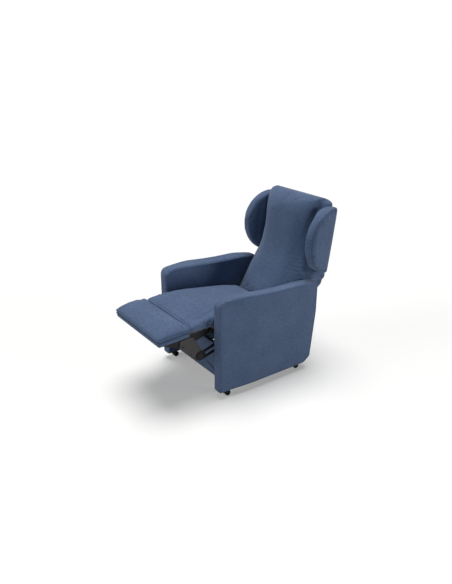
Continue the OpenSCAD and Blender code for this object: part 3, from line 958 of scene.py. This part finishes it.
@dataclass
class Seat:
    """The seat cushion, which runs on over the knee to the footrest's seam.

    Places along Y are measured from the arms' front.
    """

    finishes: Finishes
    half_width: float = 0.2665
    start: float = -0.1665
    end: float = 0.546
    end_roll: float = 0.016
    front_roll: float = 0.007
    seam: float = -0.1595
    side_power: float = 5.0
    crown: float = 0.006
    crease: float = 0.0055
    top: Profile = (
        (-0.16, 0.527),
        (-0.1, 0.537),
        (-0.04, 0.541),
        (0.03, 0.538),
        (0.15, 0.521),
        (0.3, 0.497),
        (0.45, 0.473),
        (0.54, 0.462),
    )
    base: Profile = ((-0.16, 0.4668), (0.0, 0.4668), (0.03, 0.4645), (0.53, 0.4205))

    def __post_init__(self) -> None:
        """Takes the arms' front and the knee's height from the CAD parts."""
        self.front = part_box("arm_cover_left")[0].y
        self.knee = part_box("bridge_board")[0].z

    def ring(self, y: float, pull: float) -> np.ndarray:
        """Draws one cross-section across X.

        Args:
            y: Its place.
            pull: How far it is drawn in.

        Returns:
            The section's points.
        """
        top = float(read(self.top, y)) - pull * 0.8
        base = float(read(self.base, y)) + pull * 0.35
        middle, half = (top + base) / 2, (top - base) / 2
        shape = squircle(64, self.side_power)
        x = shape[:, 0] * (self.half_width - pull * 0.5)
        crown = self.crown * (1 - (x / self.half_width) ** 2)
        z = middle + shape[:, 1] * half + np.where(shape[:, 1] > 0, crown, 0.0)
        return np.column_stack([x, np.full(len(x), self.front + y), z])

    def stations(self) -> list[tuple[float, float]]:
        """Places the sections, which are drawn in towards each end.

        Returns:
            Each section's place and how far it is drawn in.
        """
        start, end, roll, lip = self.start, self.end, self.end_roll, self.front_roll
        turns = np.linspace(math.pi / 2, 0.1, 5)
        run = [(start + lip * (1 - math.sin(a)), lip * (1 - math.cos(math.pi / 2 - a))) for a in turns]
        run += [(float(y), 0.0) for y in np.linspace(start + lip + 0.006, end - roll - 0.01, 42)]
        turns = np.linspace(0.1, math.pi / 2, 5)
        run += [(end - roll * (1 - math.sin(a)), roll * (1 - math.cos(math.pi / 2 - a))) for a in turns]
        return run

    def held(self, points: np.ndarray) -> np.ndarray:
        """Tells which points rest on the frame or are sewn at an end.

        Args:
            points: The cushion's points.

        Returns:
            Whether each point is held.
        """
        y = points[:, 1] - self.front
        ends = (y < self.start + 0.012) | (y > self.end - 0.01)
        return (points[:, 2] < read(self.base, y) + 0.006) | ends

    def build(self) -> None:
        """Builds, fills and gathers the cushion, which bends over the knee."""
        cushion = loft("seat_upholstery", [self.ring(y, pull) for y, pull in self.stations()])
        Stuffing(cap=0.010).fill(cushion, self.held)
        softened(cushion, 14)
        self.gather(cushion)
        seam = knee_seam(self.half_width, self.front + self.seam)
        sewn(cushion, settled(cushion, seam, 0.0), 0.006, 0.013)
        subdivided(cushion)
        finish_piece(cushion, "", self.finishes.fabric)
        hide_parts("seat_cushion", "bridge_pad")
        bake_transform(cushion)

    def gather(self, cushion: bpy.types.Object) -> None:
        """Draws soft creases into the sides beside the arms' front.

        Args:
            cushion: The filled cushion, which is changed.
        """
        points, ways = coordinates(cushion), normals(cushion)
        x, y, z = np.abs(points[:, 0]), points[:, 1] - self.front, points[:, 2]
        side = eased((x - 0.2) / 0.06)
        near = hump(y, -0.015, 0.07) * side
        low = eased((0.548 - z) / 0.03)
        fold = np.sin(y * 300 + z * 90) + 0.5 * np.sin(y * 140 - z * 160 + 1.0)
        crease = self.crease * near * low * fold
        across = hump(y, 0.02, 0.09) * 0.0016 * np.sin(y * 95 + x * 14)
        rear = 0.0014 * eased((y - 0.25) / 0.2) * np.sin(points[:, 0] * 30 + y * 40)
        top = eased((z - float(read(self.base, 0.2)) - 0.03) / 0.02)
        points += ways * (crease + (across + rear) * top * 0.6)[:, None]
        move_to(cushion, points)


def knee_seam(half: float, y: float) -> np.ndarray:
    """The line where the seat meets the footrest, from one side up and over to the other.

    Args:
        half: The seat's half width.
        y: The seam's place.

    Returns:
        The seam's points.
    """
    side = [(half, 0.485), (half, 0.515), (half - 0.02, 0.54)]
    corners = [(-x, z) for x, z in side] + side[::-1]
    return rolled(np.array([(x, y, z) for x, z in corners]), 0.004)


@dataclass
class Footrest:
    """The footrest: a wrapped board under a boxed and piped pad."""

    finishes: Finishes
    tilt: float = math.radians(2.5)
    board: float = 0.028
    corner: float = 0.013
    welt_radius: float = 0.0031
    rear_fill: float = 0.95
    seam: float = 0.0285
    band: float = 0.0455
    shoulder: float = 0.046
    foot: Profile = (
        (0.09, 0.0004),
        (0.03, 0.0),
        (0.008, 0.0),
        (0.002, 0.0015),
        (0.0, 0.006),
        (-0.0005, 0.016),
    )
    crown: Profile = (
        (0.0, 0.074),
        (0.12, 0.081),
        (0.35, 0.088),
        (0.6, 0.086),
        (0.82, 0.076),
        (0.95, 0.064),
        (1.0, 0.056),
    )

    def __post_init__(self) -> None:
        """Finds the footrest's own frame from the wrapped board."""
        low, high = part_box("footrest_wrap")
        self.half = high.x
        self.length = (high.y - low.y) / math.cos(self.tilt) - self.board * math.tan(self.tilt)
        self.rear = high.y - self.board * math.sin(self.tilt)
        self.bottom = high.z - self.board * math.cos(self.tilt)

    def place(self, x: np.ndarray, y: np.ndarray, z: np.ndarray) -> np.ndarray:
        """Moves points out of the footrest's own frame.

        Args:
            x: Their places across.
            y: Their places forward from the rear edge.
            z: Their heights above the underside.

        Returns:
            The points in row metres.
        """
        c, s = math.cos(self.tilt), math.sin(self.tilt)
        return np.column_stack([x, self.rear - y * c - z * s, self.bottom - y * s + z * c])

    def outline(self, inset: float) -> np.ndarray:
        """Draws the footprint with rounded corners.

        Args:
            inset: How far it lies inside the pad's edge.

        Returns:
            The closed footprint as x and forward y.
        """
        half, length = self.half - inset, self.length - 2 * inset
        r = max(self.corner - inset, 0.006)
        run = []
        for x, y, start in ((1, 1, 0.0), (-1, 1, 90.0), (-1, 0, 180.0), (1, 0, 270.0)):
            centre_x, centre_y = x * (half - r), length - r if y else r
            for a in np.radians(start + np.linspace(0, 90, 7)):
                run.append((centre_x + r * math.cos(a), centre_y + r * math.sin(a)))
        path = rolled(np.array(run), 0.004, closed=True)
        path = path[np.linspace(0, len(path) - 1, 160).astype(int)]
        return path + (0.0, inset)

    def layer(self, inset: float, height: Callable[[np.ndarray], np.ndarray] | float) -> np.ndarray:
        """Draws one ring of the pad, filled out towards the knee.

        Args:
            inset: How far the ring lies inside the pad's edge.
            height: Its height, or what gives its height along y.

        Returns:
            The ring's points.
        """
        path = self.outline(inset)
        y = path[:, 1]
        y = y - self.rear_fill * inset * (1 - eased(y / 0.09))
        z = height(y) if callable(height) else np.full(len(path), height)
        return self.place(path[:, 0], y, z)

    def crown_at(self, y: np.ndarray) -> np.ndarray:
        """Height of the pad's top along its length."""
        return read(self.crown, y / self.length)

    def rings(self) -> list[np.ndarray]:
        """The pad's rings, from the underside over the boxing to the middle of the top.

        Returns:
            The rings in order.
        """
        band, shoulder, crown_at = self.band, self.shoulder, self.crown_at
        rings = [self.layer(inset, height) for inset, height in self.foot]
        rings += [self.layer(0.0, self.seam), self.layer(-0.0015, 0.037), self.layer(0.0, band)]
        for share in np.linspace(0.1, 1.0, 10):
            turn = share * math.pi / 2
            inset = shoulder * (1 - math.cos(turn)) ** 1.15
            rings.append(self.layer(inset, lambda y, t=turn: band + (crown_at(y) - band) * math.sin(t)))
        for inset in (0.06, 0.075, 0.09, 0.103):
            rings.append(self.layer(inset, lambda y, i=inset: crown_at(y) + 0.03 * (i - shoulder)))
        return rings

    def held(self, points: np.ndarray) -> np.ndarray:
        """Tells which points lie below the upper piping.

        Args:
            points: The pad's points.

        Returns:
            Whether each point is held.
        """
        height = points[:, 2] - self.bottom + (self.rear - points[:, 1]) * math.sin(self.tilt)
        return height < self.band + 0.001

    def build(self) -> None:
        """Builds the boxed pad round its board, and the two piping cords."""
        seam, band = self.seam, self.band
        pad = loft("footrest_upholstery", self.rings())
        Stuffing(voxel=0.005, cap=0.008, evening=3).fill(pad, self.held)
        lower, upper = self.layer(-0.0016, seam), self.layer(-0.0012, band)
        sewn(pad, settled(pad, knee_seam(self.half, self.rear - 0.002), 0.0), 0.004, 0.012)
        grooves = ((seam, 0.0035), (seam - 0.0045, 0.003), (band + 0.001, 0.003), (band - 0.0045, 0.0045))
        for height, depth in grooves:
            sewn(pad, rolled(self.layer(0.0, height), 0.003, closed=True), depth, 0.0065)
        subdivided(pad)
        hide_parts("footrest_pad", "footrest_wrap")
        finish_piece(pad, "legrest", self.finishes.fabric)
        for name, path in (("footrest_piping_lower", lower), ("footrest_piping_upper", upper)):
            cord = welt(name, rolled(path, 0.005, closed=True), self.welt_radius, closed=True)
            finish_piece(cord, "legrest", self.finishes.piping)


@dataclass
class BackFrame:
    """The back's own frame, which stands on its pivot and leans."""

    lean: float = math.radians(8.0)

    def __post_init__(self) -> None:
        """Takes the pivot from the recline joint."""
        joint = next(j for j in frame["record"]["behaviour"]["joints"] if j["name"] == "back_hinge")
        self.y, self.z = joint["pos_m"][1], joint["pos_m"][2]

    def place(self, x: np.ndarray, y: np.ndarray, z: np.ndarray) -> np.ndarray:
        """Moves points out of the back's own frame.

        Args:
            x: Their places across.
            y: Their places back from the pivot.
            z: Their heights above it.

        Returns:
            The points in row metres.
        """
        c, s = math.cos(self.lean), math.sin(self.lean)
        return np.column_stack([x, self.y + y * c + z * s, self.z - y * s + z * c])

    def local(self, points: np.ndarray) -> np.ndarray:
        """Moves points into the back's own frame.

        Args:
            points: The points in row metres.

        Returns:
            The points as the back sees them.
        """
        c, s = math.cos(self.lean), math.sin(self.lean)
        y, z = points[:, 1] - self.y, points[:, 2] - self.z
        return np.column_stack([points[:, 0], y * c - z * s, y * s + z * c])


@dataclass
class Back:
    """The back's upholstery: one crowned pad that runs from the seat over the top.

    Each section gives a height, the front's place in the middle and at the side, and the pad's half width.
    """

    finishes: Finishes
    where: BackFrame
    top: float = 0.785
    rear: float = 0.25
    half: float = 0.262
    corner: float = 0.012
    hip_swell: float = 0.02
    seat_swell: float = 0.036
    slope_start: float = 0.137
    slope_rear: float = 0.183
    roll: float = 0.024
    roll_depth: float = 0.045
    sections: tuple[tuple[float, float, float, float], ...] = (
        (0.03, -0.054, 0.0, 0.259),
        (0.07, -0.06, 0.016, 0.261),
        (0.15, -0.032, 0.052, 0.262),
        (0.23, 0.0, 0.085, 0.262),
        (0.31, 0.028, 0.112, 0.256),
        (0.36, 0.045, 0.125, 0.244),
        (0.42, 0.059, 0.135, 0.2355),
        (0.49, 0.067, 0.141, 0.2345),
        (0.58, 0.071, 0.143, 0.2325),
        (0.66, 0.071, 0.139, 0.2315),
        (0.7, 0.075, 0.138, 0.2315),
        (0.73, 0.082, 0.141, 0.2315),
        (0.757, 0.095, 0.149, 0.2315),
        (0.775, 0.116, 0.161, 0.2315),
        (0.785, 0.15, 0.184, 0.228),
    )

    def section(self, z: float) -> tuple[float, float, float, float]:
        """Reads one cross-section.

        Args:
            z: Its height.

        Returns:
            The front's place in the middle and at the side, the rear's place and the pad's half width.
        """
        heights, *columns = zip(*self.sections)
        middle, side, half = (float(np.interp(z, heights, column)) for column in columns)
        rear = min(self.rear, self.slope_rear + (z - self.slope_start))
        roll = self.top - self.roll
        if z > roll:
            rear -= self.roll_depth * ((z - roll) / (self.top - roll)) ** 2.4
        return middle, side, rear, half

    def ring(self, z: float) -> np.ndarray:
        """Draws one closed section: the crowned pad in front, then the wider frame.

        Args:
            z: Its height.

        Returns:
            The section's points.
        """
        middle, side, rear, half = self.section(z)
        side = min(side, rear - 0.02)
        hip = float(eased((z - 0.228) / 0.03) * (1 - eased((z - 0.31) / 0.05)))
        seat = float(eased((z - 0.12) / 0.06) * (1 - eased((z - 0.27) / 0.08)))
        shoulder = 0.016 * float(eased((z - 0.68) / 0.03)) - 0.034 * float(eased((z - 0.752) / 0.033))
        wide = self.half + self.hip_swell * hip + shoulder
        rear += self.seat_swell * seat
        r = self.corner
        u = np.sin(np.linspace(-math.pi / 2, math.pi / 2, 61))
        front = side - (side - middle) * (1 - np.abs(u) ** 3.2) ** 0.62
        depth = np.linspace(side, rear - r, 10)[1:]
        flank = [(half + (wide - half) * float(eased((y - side - 0.03) / 0.025)), y) for y in depth]
        path = [(half * a, y) for a, y in zip(u, front)] + flank
        turns = np.linspace(0.3, math.pi / 2, 4)
        path += [(wide - r + r * math.cos(a), rear - r + r * math.sin(a)) for a in turns]
        path += [(x, rear) for x in np.linspace(wide - 2 * r, -wide + 2 * r, 24)]
        turns = np.linspace(0.0, 1.27, 4)
        path += [(-wide + r - r * math.sin(a), rear - r + r * math.cos(a)) for a in turns]
        path += [(-x, y) for x, y in flank[::-1]]
        points = np.array(path)
        return self.where.place(points[:, 0], points[:, 1], np.full(len(points), z))

    def held(self, points: np.ndarray) -> np.ndarray:
        """Tells which points rest on the frame or are sewn at the foot.

        Args:
            points: The back's points.

        Returns:
            Whether each point is held.
        """
        _, y, z = self.where.local(points).T
        frame_front = np.minimum(0.178, 0.11 + np.maximum(z - self.slope_start, -0.09))
        return (y > frame_front) | (z < 0.045)

    def build(self) -> None:
        """Builds, fills and sews the back."""
        heights = [0.03, 0.034, 0.044, 0.056, *np.linspace(0.07, 0.75, 46)]
        heights += [0.757, 0.764, 0.77, 0.775, 0.779, 0.7825, 0.785]
        back = loft("back_upholstery", [self.ring(float(z)) for z in heights])
        Stuffing(voxel=0.007, cap=0.01, evening=3).fill(back, self.held)
        self.crease(back)
        subdivided(back)
        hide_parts("back_pad", "back_shell")
        finish_piece(back, "back", self.finishes.fabric)
        self.rear_seams(back)

    def crease(self, back: bpy.types.Object) -> None:
        """Adds slow unevenness and a few drag lines near the waist.

        Args:
            back: The filled back, which is changed.
        """
        points, ways = coordinates(back), normals(back)
        x, y, z = self.where.local(points).T
        front = eased((0.15 - y) / 0.05)
        slow = 0.002 * np.sin(x * 19 + z * 11) * np.sin(z * 17 + 0.6)
        waist = hump(z, 0.33, 0.09) * eased((np.abs(x) - 0.13) / 0.09)
        drag = 0.0009 * waist * np.sin(z * 260 + np.abs(x) * 18)
        points += ways * ((slow + drag) * front)[:, None]
        move_to(back, points)

    def rear_seams(self, back: bpy.types.Object) -> None:
        """Lays the piping beside the rear panel.

        Args:
            back: The finished back.
        """
        z = np.linspace(0.205, 0.772, 120)
        y = np.full(len(z), self.rear + 0.001)
        for side, tag in ((1, "left"), (-1, "right")):
            x = np.full(len(z), side * (self.half - 0.012))
            path = settled(back, self.where.place(x, y, z), 0.0004)
            cord = welt(f"back_rear_piping_{tag}", path, 0.0026)
            finish_piece(cord, "back", self.finishes.piping)


@dataclass
class Wings:
    """The two soft wings, each a boxed half oval that splays outwards, with a sewn outer edge."""

    finishes: Finishes
    where: BackFrame
    rear: float = 0.25
    reach: float = 0.2195
    foot: float = 0.302
    height: float = 0.439
    inner: float = 0.2585
    rear_bend: float = 0.013
    thickness: float = 0.071
    edge: float = 0.014
    splay: float = math.tan(math.radians(6.7))
    power: float = 2.02
    cord: float = 0.0027

    def outline(self, inset: float) -> np.ndarray:
        """Draws the half oval from the rear foot round the front to the rear top.

        Args:
            inset: How far it lies inside the wing's edge.

        Returns:
            The outline as Y and Z in the back's own frame.
        """
        bend = max(self.rear_bend - inset, 0.003)
        angles = np.linspace(-math.pi, math.pi, 241)[:-1]
        ahead = np.cos(angles) > 0
        power = np.where(ahead, 2 / self.power, 0.7)
        c, s = raised(np.cos(angles), power), raised(np.sin(angles), power)
        middle = self.rear - inset - bend
        y = middle - c * np.where(ahead, self.reach - 2 * inset - bend, bend)
        z = self.foot + self.height / 2 + (self.height / 2 - inset) * s
        path = rolled(np.column_stack([y, z]), 0.001, closed=True)
        return path[np.linspace(0, len(path) - 1, 160, endpoint=False).astype(int)]

    def placed(self, offset: float, path: np.ndarray) -> np.ndarray:
        """Stands an outline off the inner face, which lies flat on the back near its root.

        Args:
            offset: The distance from the inner face.
            path: The outline as Y and Z in the back's own frame.

        Returns:
            The points in row metres.
        """
        ahead = self.rear - path[:, 0]
        root = 1 - offset / self.thickness
        lean = self.splay * ahead * (1 - root * (1 - eased((ahead - 0.104) / 0.06)))
        return self.where.place(self.inner + offset + lean, path[:, 0], path[:, 1])

    def stations(self) -> list[tuple[float, float]]:
        """Places the rings from the inner face over the boxing to the outer face.

        Returns:
            Each ring's offset from the inner face and its inset.
        """
        edge, full = self.edge, self.thickness
        run = [(0.0, 0.085), (0.0, 0.04), (0.0, 0.016), (0.003, 0.006), (0.009, 0.001), (0.018, 0.0)]
        run += [(0.03, -0.001), (full - edge, 0.0)]
        turns = (0.35, 0.7, 1.05, 1.35)
        run += [(full - edge + edge * math.sin(a), edge * (1 - math.cos(a))) for a in turns]
        return run + [(full + 0.0005, 0.03), (full + 0.002, 0.055), (full + 0.003, 0.085)]

    def held(self, points: np.ndarray) -> np.ndarray:
        """Tells which points lie on the inner face or at the rear.

        Args:
            points: The wing's points.

        Returns:
            Whether each point is held.
        """
        rear = self.where.local(points)[:, 1] > self.rear - 0.01
        return (points[:, 0] < self.inner + 0.012) | rear

    def build(self) -> None:
        """Builds one wing, then its opposite hand."""
        rings = [self.placed(offset, self.outline(inset)) for offset, inset in self.stations()]
        wing = loft("wing_upholstery_left", rings)
        Stuffing(voxel=0.005, cap=0.007, pressure=3.0).fill(wing, self.held)
        seam = self.seam(wing)
        sewn(wing, seam, 0.0045, 0.008)
        self.pleats(wing)
        subdivided(wing)
        twin = mirrored(wing, "wing_upholstery_right")
        for piece, tag in ((wing, "left"), (twin, "right")):
            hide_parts(f"wing_{tag}")
            finish_piece(piece, "back", self.finishes.fabric)
        cord = welt("wing_piping_left", seam, self.cord)
        for piece in (cord, mirrored(cord, "wing_piping_right")):
            finish_piece(piece, "back", self.finishes.piping)

    def seam(self, wing: bpy.types.Object) -> np.ndarray:
        """Draws the seam between the boxing and the outer face.

        Args:
            wing: The filled wing.

        Returns:
            The seam's points on the wing.
        """
        path = self.outline(0.015)
        path = path[path[:, 0] < self.rear - 0.02]
        return settled(wing, rolled(self.placed(self.thickness - 0.002, path), 0.003), 0.0006)

    def pleats(self, wing: bpy.types.Object) -> None:
        """Presses short pleats into the boxing halfway up the front.

        Args:
            wing: The filled wing, which is changed.
        """
        points, ways = coordinates(wing), normals(wing)
        x, y, z = self.where.local(points).T
        offset = x - self.inner - self.splay * (self.rear - y)
        band = eased(offset / 0.015) * eased((self.thickness - 0.004 - offset) / 0.012)
        front = eased((0.12 - y) / 0.05)
        middle = hump(z, 0.515, 0.034)
        slow = 0.0012 * np.sin(z * 60 + x * 40) * band * front
        fold = 0.006 * band * front * middle * np.sin(z * 430)
        points += ways * (fold + slow)[:, None]
        move_to(wing, points)


@dataclass
class FrontPanel:
    """Fabric on the front panel: wide at its foot, narrower between the plates."""

    finishes: Finishes
    foot: float = 0.034
    half: float = 0.2314

    def build(self) -> None:
        """Builds the cover as a loft from its rounded front edge to its rear."""
        low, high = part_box("front_cover")
        half, foot, depth = self.half, low.z + self.foot, high.y - low.y
        side = [(high.x, low.z), (high.x, foot), (half, foot), (half, high.z)]
        run = [(-high.x, low.z), *side, *((-x, z) for x, z in side[:0:-1])]
        path = rolled(np.array(run), 0.006, closed=True)
        rings = []
        for y, inset in ((0.0, 0.003), (0.0012, 0.0006), (0.004, 0.0), (depth, 0.0), (depth, 0.004)):
            x, z = drawn_in(path, inset).T
            rings.append(np.column_stack([x, np.full(len(x), low.y + y), z]))
        cover = loft("front_panel_cover", rings)
        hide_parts("front_cover")
        finish_piece(cover, "base", self.finishes.fabric)


@dataclass
class Studio:
    """Camera, pale floor and soft light."""

    eye: tuple[float, float, float] = (2.878, -2.148, 2.049)
    aim: tuple[float, float, float] = (0.1153, -0.1502, 0.6024)
    lens: float = 36.1
    floor_half: float = 40.0
    floor_lit: Colour = (0.62, 0.62, 0.62)
    floor_seen: Colour = (0.73, 0.725, 0.71)
    floor_glow: Colour = (0.28, 0.28, 0.275)
    air: Colour = (0.6, 0.76, 1.0)
    air_strength: float = 0.045

    def camera(self) -> None:
        """Places the camera."""
        data = bpy.data.cameras.new("camera")
        data.lens = self.lens
        data.sensor_width = 36.0
        data.sensor_fit = "AUTO"
        data.clip_end = 60.0
        camera = bpy.data.objects.new("camera", data)
        bpy.context.scene.collection.objects.link(camera)
        camera.location = self.eye
        camera.rotation_euler = (Vector(self.aim) - Vector(self.eye)).to_track_quat("-Z", "Y").to_euler()
        bpy.context.scene.camera = camera

    def floor(self) -> None:
        """Lays the pale floor, which glows a little for the camera and keeps the shadow."""
        half = self.floor_half
        corners = np.array([(-half, -half, 0), (half, -half, 0), (half, half, 0), (-half, half, 0)])
        floor = new_piece("studio_floor", corners, [(0, 1, 2, 3)])
        graph = Graph(bpy.data.materials.new("pale_floor"))
        seen = graph.node("ShaderNodeLightPath", output="Is Camera Ray")
        colour = graph.mix(seen, self.floor_lit, self.floor_seen)
        plain = graph.node("ShaderNodeBsdfDiffuse", inputs={"Color": colour})
        glow = graph.node("ShaderNodeEmission", inputs={"Color": (*self.floor_glow, 1.0), "Strength": seen})
        both = graph.node("ShaderNodeAddShader", inputs={0: plain, 1: glow})
        graph.node("ShaderNodeOutputMaterial", inputs={"Surface": both})
        floor.data.materials.append(graph.owner)

    def lamp(self, name: str, heading: Sequence[float], spread: float, strength: float) -> None:
        """Hangs one very large, far lamp.

        Args:
            name: The lamp's name.
            heading: The direction from the chair to the lamp.
            spread: The angle in degrees that the lamp fills.
            strength: Its strength.
        """
        data = bpy.data.lights.new(name, "SUN")
        data.angle = math.radians(spread)
        data.energy = strength
        lamp = bpy.data.objects.new(name, data)
        bpy.context.scene.collection.objects.link(lamp)
        lamp.rotation_euler = Vector(heading).to_track_quat("Z", "Y").to_euler()

    def world(self) -> None:
        """Lights the room evenly and shows white behind the chair."""
        world = bpy.data.worlds.new("studio_air")
        bpy.context.scene.world = world
        graph = Graph(world)
        camera = graph.node("ShaderNodeLightPath", output="Is Camera Ray")
        glossy, through = graph.outputs(camera, ("Is Glossy Ray", "Is Transmission Ray"))
        seen = camera.maths("MAXIMUM", camera.maths("MAXIMUM", camera, glossy), through)
        sockets = {"Color": (*self.air, 1.0), "Strength": self.air_strength}
        air = graph.node("ShaderNodeBackground", inputs=sockets)
        white = graph.node("ShaderNodeBackground", inputs={"Color": (1.0, 1.0, 1.0, 1.0), "Strength": 1.0})
        blend = graph.node("ShaderNodeMixShader", inputs={0: seen, 1: air, 2: white})
        graph.node("ShaderNodeOutputWorld", inputs={"Surface": blend})

    def build(self) -> None:
        """Sets up the whole studio."""
        self.camera()
        self.floor()
        self.world()
        self.lamp("overhead_softbox", (-0.17, 0.12, 1.0), 40.0, 2.75)
        self.lamp("side_softbox", (1.0, 0.68, 0.1), 16.0, 1.25)
        self.lamp("front_softbox", (-0.35, -1.0, 0.4), 38.0, 0.9)
        bpy.context.scene.view_settings.view_transform = "Standard"


def main() -> None:
    """Builds the studio, then dresses the chair sub-assembly by sub-assembly."""
    Studio().build()
    finishes = Finishes()
    finishes.dress_cad()
    where = BackFrame()
    Arms(finishes).build()
    Seat(finishes).build()
    Footrest(finishes).build()
    Back(finishes, where).build()
    Wings(finishes, where).build()
    FrontPanel(finishes).build()


if __name__ == "__main__":
    main()
